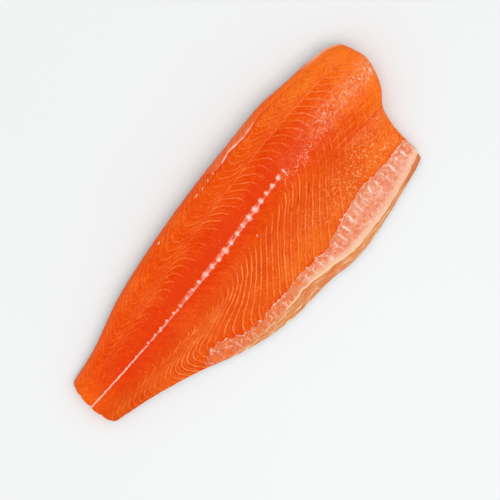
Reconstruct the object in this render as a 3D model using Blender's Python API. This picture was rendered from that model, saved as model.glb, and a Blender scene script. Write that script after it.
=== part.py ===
"""A raw salmon fillet lying skin side down: the flesh, and the skin that runs under all of it.

Metres, +Z up. +X runs from the tail to the head end and +Y to the back of the fish.
The origin is at the middle of the underside, which is flat and lies at z = 0.
Both solids are slabs over one plan: a patch between the belly edge, the back edge,
the tail cut and the head cut. Each point of the plan has a place (along, across), both 0 to 1:
along runs from the tail cut to the head cut, and across from the belly edge to the back edge.
"""

import bmesh
import bpy
import numpy as np

NAME = "salmon_fillet"
MM = 0.001

# The four edges of the plan, in millimetres. They meet at the corners of the fillet.
BELLY_EDGE = ((-139.2, -9.8), (-110, -17.8), (-78, -29.4), (-52, -41.2), (-33, -47.4), (-13, -51.2),
              (25, -53.6), (38, -56), (52, -56.4), (77, -53.3), (102, -48.7), (112, -46.8), (119.8, -44.3))
BACK_EDGE = ((-138, 27.3), (-117, 30.6), (-78, 41.8), (-46, 47.4), (0, 52.6), (50, 55.6),
             (76, 56.4), (97, 53.8), (119, 51.6), (132, 49), (139.3, 44.9))
HEAD_CUT = ((119.8, -44.3), (121.6, -39), (122.2, -30), (124, -14), (127.3, -4.6), (136.2, 5.6),
            (141.3, 16), (143.5, 25), (142, 35), (139.3, 44.9))
TAIL_BULGE = 4.8  # how far the middle of the tail cut stands past its corners
TAIL_ROUNDNESS = 0.55  # power of the bulge: below 1 the tail cut is flat with round corners
TAIL_NOTCH = 0.9  # depth of the notches between the bundles of muscle in the tail cut
TAIL_BUNDLES = 4
LENGTH = 282  # along the middle, from the belly corner of the tail cut to the tip of the head cut

# Thickness of the flesh over the skin in three sections: (across, thickness in millimetres)
TAIL_SECTION = ((0, 1.2), (0.1, 5), (0.3, 7.5), (0.5, 7.8), (0.7, 8.5), (0.9, 6.5), (1, 2.5))
MIDDLE_SECTION = ((0, 1.5), (0.04, 5), (0.1, 8.5), (0.18, 9.5), (0.35, 12), (0.5, 16),
                  (0.62, 20), (0.75, 22.2), (0.86, 21), (0.95, 17), (0.985, 12), (1, 5))
HEAD_SECTION = ((0, 1.5), (0.05, 5), (0.12, 7.5), (0.2, 8), (0.35, 10), (0.5, 14),
                (0.65, 19), (0.78, 21.3), (0.88, 19.5), (0.95, 15), (0.985, 10), (1, 4))
MIDDLE_ALONG = 0.58  # where the middle section stands, from the tail cut to the head cut
SECTION_SAMPLES = 400

# Rounding of the top edge at the two cuts
HEAD_ROUND = 5 * MM
TAIL_ROUND = 4 * MM
CUT_HEIGHT = 0.72  # height of the cut faces over the full thickness beside them

# The skin: a sheet that lies flat and turns up at the back and at the belly
SKIN_THICKNESS = 0.9 * MM
GAP = 0.3 * MM  # between the skin and the flesh
BACK_RISE, BACK_REACH = 3.6 * MM, 9 * MM
BELLY_RISE, BELLY_REACH = 1.8 * MM, 6 * MM
TAIL_RISE = 0.3  # share of the rise that is left at the tail cut
TAIL_FLAT_ALONG = 0.12  # the rise is full from here on towards the head

LINES_ALONG = 37
LINES_ACROSS = 19
# Shares of the plan by which the flesh stays inside the skin, at the cuts and at the two long edges
CUT_INSET, EDGE_INSET = 0.002, 0.004
SHARP_ANGLE = 50  # degrees between two faces, past which the edge between them is sharp

FLESH_COLOUR, FLESH_ROUGHNESS = (0.80, 0.13, 0.03, 1), 0.3
SKIN_COLOUR, SKIN_ROUGHNESS = (0.30, 0.32, 0.33, 1), 0.35


def smooth_through(points, amounts):
    """Points on a smooth curve through the given points, at shares 0 to 1 of its length."""
    points = np.array(points, float)
    stops = np.r_[0, np.cumsum(np.linalg.norm(np.diff(points, axis=0), axis=1))]
    slopes = np.gradient(points, stops, axis=0)
    places = np.clip(amounts, 0, 1) * stops[-1]
    i = np.clip(np.searchsorted(stops, places, side="right") - 1, 0, len(stops) - 2)
    step = stops[i + 1] - stops[i]
    t = ((places - stops[i]) / step)[:, None]
    step = step[:, None]
    start = (2 * t**3 - 3 * t**2 + 1) * points[i] + (t**3 - 2 * t**2 + t) * step * slopes[i]
    end = (3 * t**2 - 2 * t**3) * points[i + 1] + (t**3 - t**2) * step * slopes[i + 1]
    return start + end


def ease(t):
    """0 to 1, starting and ending gently."""
    t = np.clip(t, 0, 1)
    return t * t * (3 - 2 * t)


def tail_cut(across):
    """The tail cut: a shallow bulge with a notch between each two bundles of muscle."""
    start, end = np.array(BELLY_EDGE[0]), np.array(BACK_EDGE[0])
    bulge = TAIL_BULGE * np.sin(np.pi * across) ** TAIL_ROUNDNESS
    notch = TAIL_NOTCH * (1 - np.abs(np.sin(np.pi * TAIL_BUNDLES * across))) ** 2
    inside = 4 * across * (1 - across)
    cut = start + (end - start) * across[:, None]
    cut[:, 0] -= bulge - notch * inside
    return cut


def plan(along, across):
    """The patch between the four edges, in metres."""
    belly, back = smooth_through(BELLY_EDGE, along), smooth_through(BACK_EDGE, along)
    tail, head = tail_cut(across), smooth_through(HEAD_CUT, across)
    u, v = along[:, None], across[:, None]
    corners = ((1 - u) * (1 - v) * BELLY_EDGE[0] + u * (1 - v) * BELLY_EDGE[-1]
               + (1 - u) * v * BACK_EDGE[0] + u * v * BACK_EDGE[-1])
    return ((1 - v) * belly + v * back + (1 - u) * tail + u * head - corners) * MM


def section(points, across):
    """Thickness of one section, in metres."""
    curve = smooth_through(points, np.linspace(0, 1, SECTION_SAMPLES))
    return np.interp(across, curve[:, 0], curve[:, 1]) * MM


def thickness(along, across):
    """Thickness of the flesh: three sections, blended along the fillet and rounded at the cuts."""
    to_middle = ease(along / MIDDLE_ALONG)
    to_head = ease((along - MIDDLE_ALONG) / (1 - MIDDLE_ALONG))
    rear = section(TAIL_SECTION, across) * (1 - to_middle) + section(MIDDLE_SECTION, across) * to_middle
    full = rear * (1 - to_head) + section(HEAD_SECTION, across) * to_head
    from_tail = np.clip(along * LENGTH * MM / TAIL_ROUND, 0, 1)
    from_head = np.clip((1 - along) * LENGTH * MM / HEAD_ROUND, 0, 1)
    fall = np.sqrt(1 - (1 - from_tail) ** 2) * np.sqrt(1 - (1 - from_head) ** 2)
    return full * (CUT_HEIGHT + (1 - CUT_HEIGHT) * fall)


def underside(along, across):
    """Height of the outside of the skin: flat, and turned up at the back and at the belly."""
    belly, back = smooth_through(BELLY_EDGE, along), smooth_through(BACK_EDGE, along)
    width = np.linalg.norm(back - belly, axis=1) * MM
    at_back = np.clip(1 - (1 - across) * width / BACK_REACH, 0, 1)
    at_belly = np.clip(1 - across * width / BELLY_REACH, 0, 1)
    fade = ease(along / TAIL_FLAT_ALONG) * (1 - TAIL_RISE) + TAIL_RISE
    return (BACK_RISE * at_back**2 + BELLY_RISE * at_belly**2) * fade


def lines(count, inset):
    """Places of the grid lines, closer together towards both edges, with one at the inset."""
    even = np.linspace(0, 1, count - 2)
    dense = 0.5 * even + 0.5 * (1 - np.cos(np.pi * even)) / 2
    return np.r_[0, inset + (1 - 2 * inset) * dense, 1]


def colour(name, base, roughness):
    material = bpy.data.materials.new(name)
    material.use_nodes = True
    shader = material.node_tree.nodes["Principled BSDF"]
    shader.inputs["Base Color"].default_value = base
    shader.inputs["Roughness"].default_value = roughness
    shader.inputs["Metallic"].default_value = 0
    return material


def slab(name, rows, columns, low, high, material, collection):
    """A closed solid over the part of the plan that the rows and columns span, from low to high."""
    bm = bmesh.new()
    bmesh.ops.create_grid(bm, x_segments=len(rows) - 1, y_segments=len(columns) - 1, size=0.5)
    u = np.interp([v.co.x + 0.5 for v in bm.verts], np.linspace(0, 1, len(rows)), rows)
    w = np.interp([v.co.y + 0.5 for v in bm.verts], np.linspace(0, 1, len(columns)), columns)
    spots = plan(u, w)
    bottom, top = low(u, w), high(u, w)
    lower = list(bm.verts)
    raised = bmesh.ops.extrude_face_region(bm, geom=list(bm.faces))["geom"]
    upper = {v.co.to_tuple(6): v for v in raised if isinstance(v, bmesh.types.BMVert)}
    pairs = [(v, upper[v.co.to_tuple(6)]) for v in lower]
    for (under, over), spot, z0, z1 in zip(pairs, spots, bottom, top):
        under.co = (spot[0], spot[1], z0)
        over.co = (spot[0], spot[1], z1)
    bmesh.ops.recalc_face_normals(bm, faces=list(bm.faces))
    mesh = bpy.data.meshes.new(name)
    bm.to_mesh(mesh)
    bm.free()
    mesh.shade_smooth()
    mesh.set_sharp_from_angle(angle=np.radians(SHARP_ANGLE))
    mesh.materials.append(material)
    solid = bpy.data.objects.new(name, mesh)
    collection.objects.link(solid)
    return solid


def skin_top(along, across):
    return underside(along, across) + SKIN_THICKNESS


def flesh_bottom(along, across):
    return skin_top(along, across) + GAP


def flesh_top(along, across):
    return flesh_bottom(along, across) + thickness(along, across)


def build():
    for old in list(bpy.data.objects):
        bpy.data.objects.remove(old)
    collection = bpy.data.collections.new(NAME)
    bpy.context.scene.collection.children.link(collection)
    rows = lines(LINES_ALONG, CUT_INSET)
    columns = lines(LINES_ACROSS, EDGE_INSET)
    skin = colour("skin", SKIN_COLOUR, SKIN_ROUGHNESS)
    flesh = colour("flesh", FLESH_COLOUR, FLESH_ROUGHNESS)
    slab("skin", rows, columns, underside, skin_top, skin, collection)
    slab("flesh", rows[1:-1], columns[1:-1], flesh_bottom, flesh_top, flesh, collection)


if __name__ == "__main__":
    build()
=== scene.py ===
"""The looks of a raw salmon fillet that lies skin side down.

The fillet runs along X from the tail cut to the head end and along Y from the belly to the back.
Sizes in this file are in millimetres. The meshes, the properties, the lights and the camera
are in metres.
A place on the fillet is (along, across), both 0 to 1: from the tail cut to the head end,
and from the belly edge to the back edge.
"""

from functools import partial, reduce

import bpy
import numpy as np
from bpy.props import FloatProperty, FloatVectorProperty, IntProperty, PointerProperty
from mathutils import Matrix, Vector


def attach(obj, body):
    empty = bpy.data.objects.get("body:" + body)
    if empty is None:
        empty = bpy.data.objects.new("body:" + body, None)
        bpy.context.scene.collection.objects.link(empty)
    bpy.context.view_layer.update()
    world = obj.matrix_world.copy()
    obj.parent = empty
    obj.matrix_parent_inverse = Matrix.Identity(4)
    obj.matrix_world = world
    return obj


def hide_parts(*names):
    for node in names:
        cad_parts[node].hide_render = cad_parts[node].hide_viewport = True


bl_info = {
    "name": "Salmon fillet looks",
    "version": (1, 0, 0),
    "blender": (4, 5, 0),
    "location": "View3D > Sidebar > Fillet",
    "description": "Makes the flesh, the skin and the small pieces of a raw salmon fillet",
    "category": "Object",
}

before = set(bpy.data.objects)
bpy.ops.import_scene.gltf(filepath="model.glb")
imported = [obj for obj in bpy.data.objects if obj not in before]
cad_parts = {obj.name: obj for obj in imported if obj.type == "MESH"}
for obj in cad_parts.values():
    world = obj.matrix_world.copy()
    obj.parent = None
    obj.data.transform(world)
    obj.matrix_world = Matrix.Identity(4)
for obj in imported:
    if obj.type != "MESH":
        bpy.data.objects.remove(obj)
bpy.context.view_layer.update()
MM = 0.001

# The four edges of the fillet seen from above
BELLY_EDGE = ((-139.2, -9.8), (-110, -17.8), (-78, -29.4), (-52, -41.2), (-33, -47.4), (-13, -51.2),
              (25, -53.6), (38, -56), (52, -56.4), (77, -53.3), (102, -48.7), (112, -46.8), (119.8, -44.3))
BACK_EDGE = ((-138, 27.3), (-117, 30.6), (-78, 41.8), (-46, 47.4), (0, 52.6), (50, 55.6),
             (76, 56.4), (97, 53.8), (119, 51.6), (132, 49), (139.3, 44.9))
HEAD_CUT = ((119.8, -44.3), (121.6, -39), (122.2, -30), (124, -14), (127.3, -4.6), (136.2, 5.6),
            (141.3, 16), (143.5, 25), (142, 35), (139.3, 44.9))
TAIL_BULGE = 4.8  # how far the middle of the tail cut stands past its corners
TAIL_ROUNDNESS = 0.55  # power of the bulge: below 1 the tail cut is flat with round corners
TAIL_NOTCH = 0.9  # depth of the notches between the bundles of muscle in the tail cut
TAIL_BUNDLES = 4

# Thickness of the flesh over the skin in three sections: (across, thickness)
TAIL_SECTION = ((0, 1.2), (0.1, 5), (0.3, 7.5), (0.5, 7.8), (0.7, 8.5), (0.9, 6.5), (1, 2.5))
MIDDLE_SECTION = ((0, 1.5), (0.04, 5), (0.1, 8.5), (0.18, 9.5), (0.35, 12), (0.5, 16),
                  (0.62, 20), (0.75, 22.2), (0.86, 21), (0.95, 17), (0.985, 12), (1, 5))
HEAD_SECTION = ((0, 1.5), (0.05, 5), (0.12, 7.5), (0.2, 8), (0.35, 10), (0.5, 14),
                (0.65, 19), (0.78, 21.3), (0.88, 19.5), (0.95, 15), (0.985, 10), (1, 4))
MIDDLE_ALONG = 0.58  # where the middle section stands, from the tail cut to the head cut

# The line along the backbone, and the lines that bound the pale belly strip
SPINE = ((-144, 8.1), (-117, 7.8), (-52, 8.4), (-26, 9.4), (-7, 10.7), (15, 12.6), (41, 15.2),
         (53, 16.2), (90, 16.8), (145, 17.2))
STRIP_TOP = ((-78, -30), (-70, -26), (-62, -24.2), (-57.5, -24), (-52, -26.8), (-44, -31.2),
             (-37.5, -34.4), (-22, -36), (-1, -36), (25, -36.5), (35, -37.5), (45, -35), (58, -31.5),
             (74, -28.5), (96, -29), (120, -28.5), (130, -28))
RIDGE = ((-90, -29), (-70, -34), (-52, -38.3), (-39, -40.9), (-26, -42.2), (-4, -44.1), (6, -43.5),
         (15, -44.8), (25, -46.7), (35, -48.6), (41, -50.6), (51, -51.5), (64, -50.9), (77, -49.9),
         (90, -48), (102, -45.4), (120, -40.6))
FLAP_LINE = ((-2, 44.5), (16, 46.5), (25, 47.6), (33, 48.8), (41, 50.4), (46, 49.7), (51, 49.1), (59, 49.7),
             (70, 51), (83, 50.7), (96, 49.4), (109, 48.1), (119, 47.5), (130, 45.5))
FOLD = ((-14, -23.5), (12, -20.3), (25, -17.7))

# The thin pale line where the segments of the back turn, and the fibres beside the head cut
SEAM = ((-117, 22.3), (-78, 27.5), (-52, 30), (-26.5, 32), (-0.7, 33.9), (25, 34.9), (51, 37.2),
        (77, 37.5), (109, 37.8), (135, 35.9))
DARK_FIBRES = ((70, 1.5), (96, -1.6), (125, -2.9))
FAT_LINE = ((80, 13.5), (105, 16), (125, 16.8), (141, 17.2))

# White streaks across the belly strip: x where each starts at the strip's upper edge
STREAKS = (-71, -62.5, -55, -49, -42, -36.5, -27, -19, -10, 12, 18.6, 25, 31.5, 41, 47, 52.8, 59.3,
           68.3, 74.8, 82, 87.7, 94, 101, 107.7, 114)
STREAK_LEAN = 0.08

# Bone ends along the backbone: (x, y, length along x, width across)
BONE_ENDS = ((-98.5, 7.9, 1.0, 1.3), (-86.8, 8.1, 1.0, 1.5), (-80, 8.2, 1.2, 1.4), (-74, 8.3, 1.3, 1.9),
             (-68, 8.3, 1.3, 2.2), (-61.5, 8.4, 1.4, 2.0), (-55, 8.5, 1.2, 2.2), (-48.8, 8.7, 1.4, 1.7),
             (-42, 9.1, 1.2, 2.2), (-35.5, 9.7, 1.8, 2.4), (-29, 9.7, 2.7, 3.3), (-22.6, 10, 2.6, 2.8),
             (-16.2, 9.5, 2.6, 2.6), (-9.1, 10.3, 2.9, 3.9), (-3, 10.7, 2.4, 2.8), (3.8, 11.7, 2.7, 2.7),
             (9.9, 12.6, 1.7, 3.4), (16.4, 13, 2.7, 3.9), (22.8, 13.6, 3.2, 3.9), (29.3, 14.3, 2.6, 3.3),
             (35.4, 15.2, 2.2, 2.6), (41.5, 15.5, 2.7, 2.5), (48, 15.9, 3.0, 2.9), (53.5, 16.2, 1.3, 3.3))

# Loose bits of pale tissue on the flesh: (x, y, length, width, turn in degrees)
SCRAPS = ((4.5, 47.3, 3.2, 1.1, 10), (10.3, 47.3, 3.6, 0.9, 24), (16.4, 48.0, 3.4, 0.8, 42),
          (22, 48.8, 3.6, 0.8, 14), (-34.2, 45.4, 2.6, 0.9, 8), (11.5, 1.7, 0.9, 1.8, 12),
          (72.5, 12.8, 2.6, 0.45, 6), (76.6, 13.9, 1.9, 0.4, -38), (84.4, 12.4, 1.7, 0.4, 52),
          (91.5, 13.5, 0.5, 2.8, -8), (61.3, 11.6, 1.5, 0.5, 30), (59.6, 10.3, 1.0, 0.4, -20),
          (138.4, 18.2, 3.0, 2.2, 60), (137.2, 15.4, 2.2, 1.2, 80))

# Slits where the segments gape: (x, y, half length, turn in degrees)
SLITS = ((38.6, -4.1, 1.8, 40), (45.7, -3.4, 3.3, 38), (56.4, -2.8, 3.6, 45))

# How far the lines between the muscle segments run towards the tail or the head, at several
# places along the fillet. Back: (share of the way from the backbone to the back edge, shift).
BACK_LINES = (
    (-139, ((0, 0), (0.3, 0), (0.4, -2.6), (0.5, -9), (0.6, -14.8), (0.7, -17.4), (0.82, -14), (1, -6))),
    (-117, ((0, 0), (0.3, 0), (0.4, -4), (0.46, -9), (0.55, -20), (0.65, -25), (0.7, -25.2),
            (0.82, -20.6), (1, -8.4))),
    (-68, ((0, 0), (0.3, 0), (0.4, -2), (0.46, -6), (0.5, -11.6), (0.54, -19.4), (0.58, -26),
           (0.62, -30.3), (0.7, -34.2), (0.78, -33), (0.9, -24), (1, -14.2))),
    (-26, ((0, 0), (0.32, 0), (0.42, -2), (0.465, -3.9), (0.51, -7), (0.545, -11.6), (0.57, -17.4),
           (0.59, -22), (0.625, -25.8), (0.705, -30.3), (0.753, -30.3), (0.8, -28.4), (0.93, -18),
           (1, -11.6))),
    (12, ((0, 0), (0.24, 0), (0.34, -1.6), (0.4, -3.9), (0.464, -6.8), (0.51, -9.4), (0.538, -12),
          (0.553, -16.5), (0.575, -21), (0.61, -25), (0.66, -28.6), (0.731, -31.3), (0.778, -31.3),
          (0.873, -27), (1, -19.4))),
    (103, ((0, 0), (0.24, 0), (0.31, -0.8), (0.377, -2.2), (0.43, -4), (0.5, -6.8), (0.565, -9.6),
           (0.585, -13), (0.6, -18), (0.626, -22.8), (0.687, -29.7), (0.74, -34.6), (0.78, -36.8),
           (0.83, -34.8), (0.88, -30.5), (1, -23.2))),
)
# Belly: (place along, ((y, shift), ...)) from the backbone outwards
BELLY_LINES = (
    (-137, ((8.2, 0), (3, 2), (0.4, 2.9), (-2.2, 2.6), (-4.1, 0.6), (-6, -2.6), (-8, -5.2), (-10.6, -6.5))),
    (-110, ((7.9, 0), (3, 2.6), (0, 4.5), (-2.8, 5.8), (-4.8, 5.8), (-6.4, 3.2), (-7.7, -2),
            (-9, -8.4), (-10.6, -14.2), (-12.5, -18), (-14.5, -19.4), (-17.6, -17.4))),
    (-85, ((8, 0), (3, 3.2), (-0.9, 6.5), (-3.5, 8.4), (-6, 9), (-7.7, 7), (-8.6, 3.2), (-9.9, -4.5),
           (-11.2, -12.3), (-13.2, -20.6), (-15, -26.4), (-17, -29.7), (-19, -31), (-21, -30.6),
           (-26.4, -25.2))),
    (-65, ((8.3, 0), (3, 3.9), (-0.3, 7.7), (-3.5, 11), (-6, 12.9), (-8, 12.2), (-9.3, 8.4), (-10, 5.2),
           (-10.6, 1.3), (-11.9, -7), (-13.8, -17.4), (-15.7, -24.5), (-17.7, -29.7), (-19.6, -33.5),
           (-21.5, -35.8), (-24.8, -36.4), (-28, -34.8), (-34.9, -29.7))),
    (-46, ((8.7, 0), (3, 4.5), (-0.3, 7.7), (-4.8, 12.2), (-8, 11.6), (-9.9, 7.7), (-11.2, 1.3),
           (-13.2, -8.4), (-15, -14.8), (-17.7, -21.6), (-20.3, -26.8), (-22.8, -31), (-26, -35),
           (-28, -36.4), (-35.7, -36), (-44.1, -33.5))),
    (-26, ((9.5, 0), (6.2, 2.6), (3, 5.8), (-0.3, 8.4), (-3.5, 9.7), (-6, 8.4), (-8, 6), (-10, 3.2),
           (-11.2, 0), (-13.2, -5.2), (-16.4, -12.3), (-19.6, -18), (-22.8, -23.2), (-26, -27.7),
           (-29.3, -31.6), (-32.5, -34.8), (-35.7, -36.8), (-49, -41.3))),
    (12, ((12.4, 0), (8.4, 2), (5, 4.5), (3, 5.2), (0.4, 3.5), (-3.5, -1.6), (-6.7, -5.8), (-10, -9.7),
          (-13.2, -13.5), (-16.4, -17.4), (-22.8, -24.5), (-29.3, -31), (-35.7, -36.8), (-44.8, -42.6),
          (-53, -46.4))),
    (64, ((16.5, 0), (13.5, 5), (11.4, 9.4), (10.2, 10.6), (8.6, 10.2), (6.8, 9.2), (4.3, 7.2), (1.7, 4.9),
          (-0.9, 2.3), (-3.5, -0.6), (-6.7, -4.2), (-10, -7.7), (-16.4, -14.2), (-24, -21.3),
          (-32.5, -27.7), (-42, -33), (-55, -38.7))),
    (115, ((17, 0), (13.5, 4), (11.4, 7.4), (10.2, 8.6), (8.6, 8.4), (6.8, 7.6), (3, 5.2), (-0.9, 2),
           (-3.5, -0.6), (-6.7, -3.9),
           (-10, -7), (-16.4, -13.5), (-24, -20), (-36, -27), (-45.4, -32))),
)
LINE_SAMPLES = 81
SECTION_SAMPLES = 400


def ease(t):
    """0 to 1, starting and ending gently."""
    t = np.clip(t, 0, 1)
    return t * t * (3 - 2 * t)


def band(x, low, high, soft):
    """1 between low and high, fading to 0 over soft on both sides."""
    return ease((x - low) / soft + 0.5) * ease((high - x) / soft + 0.5)


def bump(x, centre, half_width):
    """A soft hill of height 1."""
    return np.exp(-(((x - centre) / half_width) ** 2))


def smooth_through(points, amounts):
    """Points on a smooth curve through the given points, at shares 0 to 1 of its length."""
    points = np.array(points, float)
    stops = np.r_[0, np.cumsum(np.linalg.norm(np.diff(points, axis=0), axis=1))]
    return np.stack([hermite(stops, column, np.clip(amounts, 0, 1) * stops[-1]) for column in points.T], 1)


def hermite(stops, values, x):
    """Smooth curve through values at stops, for each x. values may hold one row for each curve."""
    stops, values = np.asarray(stops, float), np.asarray(values, float)
    slopes = np.gradient(values, stops, axis=-1)
    i = np.clip(np.searchsorted(stops, x, side="right") - 1, 0, len(stops) - 2)
    step = stops[i + 1] - stops[i]
    t = np.clip((x - stops[i]) / step, 0, 1)
    start = (2 * t**3 - 3 * t**2 + 1) * values[..., i] + (t**3 - 2 * t**2 + t) * step * slopes[..., i]
    end = (3 * t**2 - 2 * t**3) * values[..., i + 1] + (t**3 - t**2) * step * slopes[..., i + 1]
    return start + end


def height_of(points, x):
    """The y at x of a line given as points."""
    xs, ys = np.array(points, float).T
    return hermite(xs, ys, x)


def noise(x, y, seed):
    """Smooth noise from -1 to 1, with features about one unit wide."""
    size = 256
    table = np.random.default_rng(seed).random((size, size))
    i, j = np.floor(x).astype(int), np.floor(y).astype(int)
    fx, fy = ease(x - i), ease(y - j)
    i, j = i % size, j % size
    right, above = (i + 1) % size, (j + 1) % size
    low = table[i, j] * (1 - fx) + table[right, j] * fx
    high = table[i, above] * (1 - fx) + table[right, above] * fx
    return 2 * (low * (1 - fy) + high * fy) - 1


def layered(x, y, seed, layers=3):
    """Noise with finer noise on it."""
    return sum(noise(x * 2**k, y * 2**k, seed + k) / 2**k for k in range(layers))


# ---------------------------------------------------------------- plan and thickness

def tail_cut(across):
    """The tail cut: a shallow bulge with a notch between each two bundles of muscle."""
    start, end = np.array(BELLY_EDGE[0]), np.array(BACK_EDGE[0])
    bulge = TAIL_BULGE * np.clip(np.sin(np.pi * across), 0, 1) ** TAIL_ROUNDNESS
    notch = TAIL_NOTCH * (1 - np.abs(np.sin(np.pi * TAIL_BUNDLES * across))) ** 2
    inside = 4 * across * (1 - across)
    cut = start + (end - start) * across[:, None]
    cut[:, 0] -= bulge - notch * inside
    return cut


def plan(along, across):
    """The patch between the four edges, in millimetres."""
    belly, back = smooth_through(BELLY_EDGE, along), smooth_through(BACK_EDGE, along)
    tail, head = tail_cut(across), smooth_through(HEAD_CUT, across)
    u, v = along[:, None], across[:, None]
    corners = ((1 - u) * (1 - v) * BELLY_EDGE[0] + u * (1 - v) * BELLY_EDGE[-1]
               + (1 - u) * v * BACK_EDGE[0] + u * v * BACK_EDGE[-1])
    return (1 - v) * belly + v * back + (1 - u) * tail + u * head - corners


def section(points, across):
    """Thickness of one section."""
    curve = smooth_through(points, np.linspace(0, 1, SECTION_SAMPLES))
    return np.interp(across, curve[:, 0], curve[:, 1])


def thickness(along, across):
    """Thickness of the flesh before its fine relief."""
    to_middle = ease(along / MIDDLE_ALONG)
    to_head = ease((along - MIDDLE_ALONG) / (1 - MIDDLE_ALONG))
    rear = section(TAIL_SECTION, across) * (1 - to_middle) + section(MIDDLE_SECTION, across) * to_middle
    return rear * (1 - to_head) + section(HEAD_SECTION, across) * to_head


SKIN_THICKNESS = 0.9
BACK_RISE, BACK_REACH = 3.6, 9
BELLY_RISE, BELLY_REACH = 1.8, 6
TAIL_RISE = 0.3  # share of the rise that is left at the tail cut
TAIL_FLAT_ALONG = 0.12  # the rise is full from here on towards the head


def underside(along, across):
    """Height of the outside of the skin: flat, and turned up at the back and at the belly."""
    belly, back = smooth_through(BELLY_EDGE, along), smooth_through(BACK_EDGE, along)
    width = np.linalg.norm(back - belly, axis=1)
    at_back = np.clip(1 - (1 - across) * width / BACK_REACH, 0, 1)
    at_belly = np.clip(1 - across * width / BELLY_REACH, 0, 1)
    fade = ease(along / TAIL_FLAT_ALONG) * (1 - TAIL_RISE) + TAIL_RISE
    return (BACK_RISE * at_back**2 + BELLY_RISE * at_belly**2) * fade


# ---------------------------------------------------------------- muscle segments

def line_table(rows, shares):
    """One row of shifts at even shares for each place along."""
    return np.array([hermite(*np.array(row, float).T, shares) for row in rows])


def across_and_along(places, table, x, share):
    """The table's value at x and share, smooth both ways."""
    places = np.asarray(places, float)
    rows = hermite(np.linspace(0, 1, LINE_SAMPLES), table, share)
    x = np.clip(x, places[0], places[-1])
    slopes = np.gradient(rows, places, axis=0)
    i = np.clip(np.searchsorted(places, x, side="right") - 1, 0, len(places) - 2)
    step = places[i + 1] - places[i]
    t = (x - places[i]) / step
    n = np.arange(len(x))
    start = (2 * t**3 - 3 * t**2 + 1) * rows[i, n] + (t**3 - 2 * t**2 + t) * step * slopes[i, n]
    end = (3 * t**2 - 2 * t**3) * rows[i + 1, n] + (t**3 - t**2) * step * slopes[i + 1, n]
    return start + end


def edges_at(x):
    """y of the backbone line, the back edge and the belly edge at x."""
    return height_of(SPINE, x), height_of(BACK_EDGE, x), height_of(BELLY_EDGE, x)


def belly_rows():
    """The belly lines as (share of the way from the backbone to the belly edge, shift)."""
    rows = []
    for place, points in BELLY_LINES:
        spine, _, edge = edges_at(np.array([float(place)]))
        y, shift = np.array(points, float).T
        share = (spine - y) / (spine - edge)
        share[0] = 0
        share[-1] = max(share[-1], 1)
        rows.append(np.stack([share, shift], 1))
    return rows


SHARES = np.linspace(0, 1, LINE_SAMPLES)
BACK_TABLE = line_table([row for _, row in BACK_LINES], SHARES)
BELLY_TABLE = line_table(belly_rows(), SHARES)
LEAST_SPACING = 1.0
FIRST_DOT = 16.4  # x of a bone end on the backbone line, where a line between segments crosses it


def segment(x, y, pitch):
    """Number of the muscle segment: whole numbers lie on the lines between segments."""
    spine, back, belly = edges_at(x)
    up = np.clip((y - spine) / (back - spine), 0, 1)
    down = np.clip((spine - y) / (spine - belly), 0, 1)
    shift = np.where(y >= spine,
                     across_and_along([p for p, _ in BACK_LINES], BACK_TABLE, x, up),
                     across_and_along([p for p, _ in BELLY_LINES], BELLY_TABLE, x, down))
    return (x - FIRST_DOT - shift) / pitch


def line_spacing(x, y, pitch):
    """Distance between two lines, across them."""
    step = 0.4
    change_x = (segment(x + step, y, pitch) - segment(x - step, y, pitch)) / (2 * step)
    change_y = (segment(x, y + step, pitch) - segment(x, y - step, pitch)) / (2 * step)
    return np.clip(1 / np.hypot(change_x, change_y), LEAST_SPACING, pitch)


# ---------------------------------------------------------------- properties

def srgb(red, green, blue):
    """A colour as a display shows it, 0 to 255, in scene values."""
    c = np.array((red, green, blue)) / 255
    return tuple(np.where(c <= 0.04045, c / 12.92, ((c + 0.055) / 1.055) ** 2.4))


def colour_property(name, text, value):
    return FloatVectorProperty(name=name, description=text, subtype="COLOR", min=0, max=1, default=value)


class FILLET_PG_shape(bpy.types.PropertyGroup):
    """Sizes of the fine forms."""

    pitch: FloatProperty(name="Segment length", description="Distance between the lines at the backbone",
                         default=6.29 * MM, min=2 * MM, max=20 * MM, unit="LENGTH")
    line_relief: FloatProperty(name="Line relief", description="Height of the lines between segments",
                               default=0.16 * MM, min=0, max=1 * MM, unit="LENGTH")
    wet_relief: FloatProperty(name="Wet relief", description="Height of the small wet bumps",
                              default=0.5 * MM, min=0, max=1 * MM, unit="LENGTH")
    waves: FloatProperty(name="Waves", description="Height of the broad unevenness of the flesh",
                         default=0.45 * MM, min=0, max=3 * MM, unit="LENGTH")
    strip_step: FloatProperty(name="Strip step", description="Drop from the muscle to the belly strip",
                              default=0.7 * MM, min=0, max=3 * MM, unit="LENGTH")
    rows_along: IntProperty(name="Rows along", description="Mesh rows along the flesh",
                            default=420, min=40, max=600)
    rows_across: IntProperty(name="Rows across", description="Mesh rows across the flesh",
                             default=186, min=20, max=300)


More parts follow.
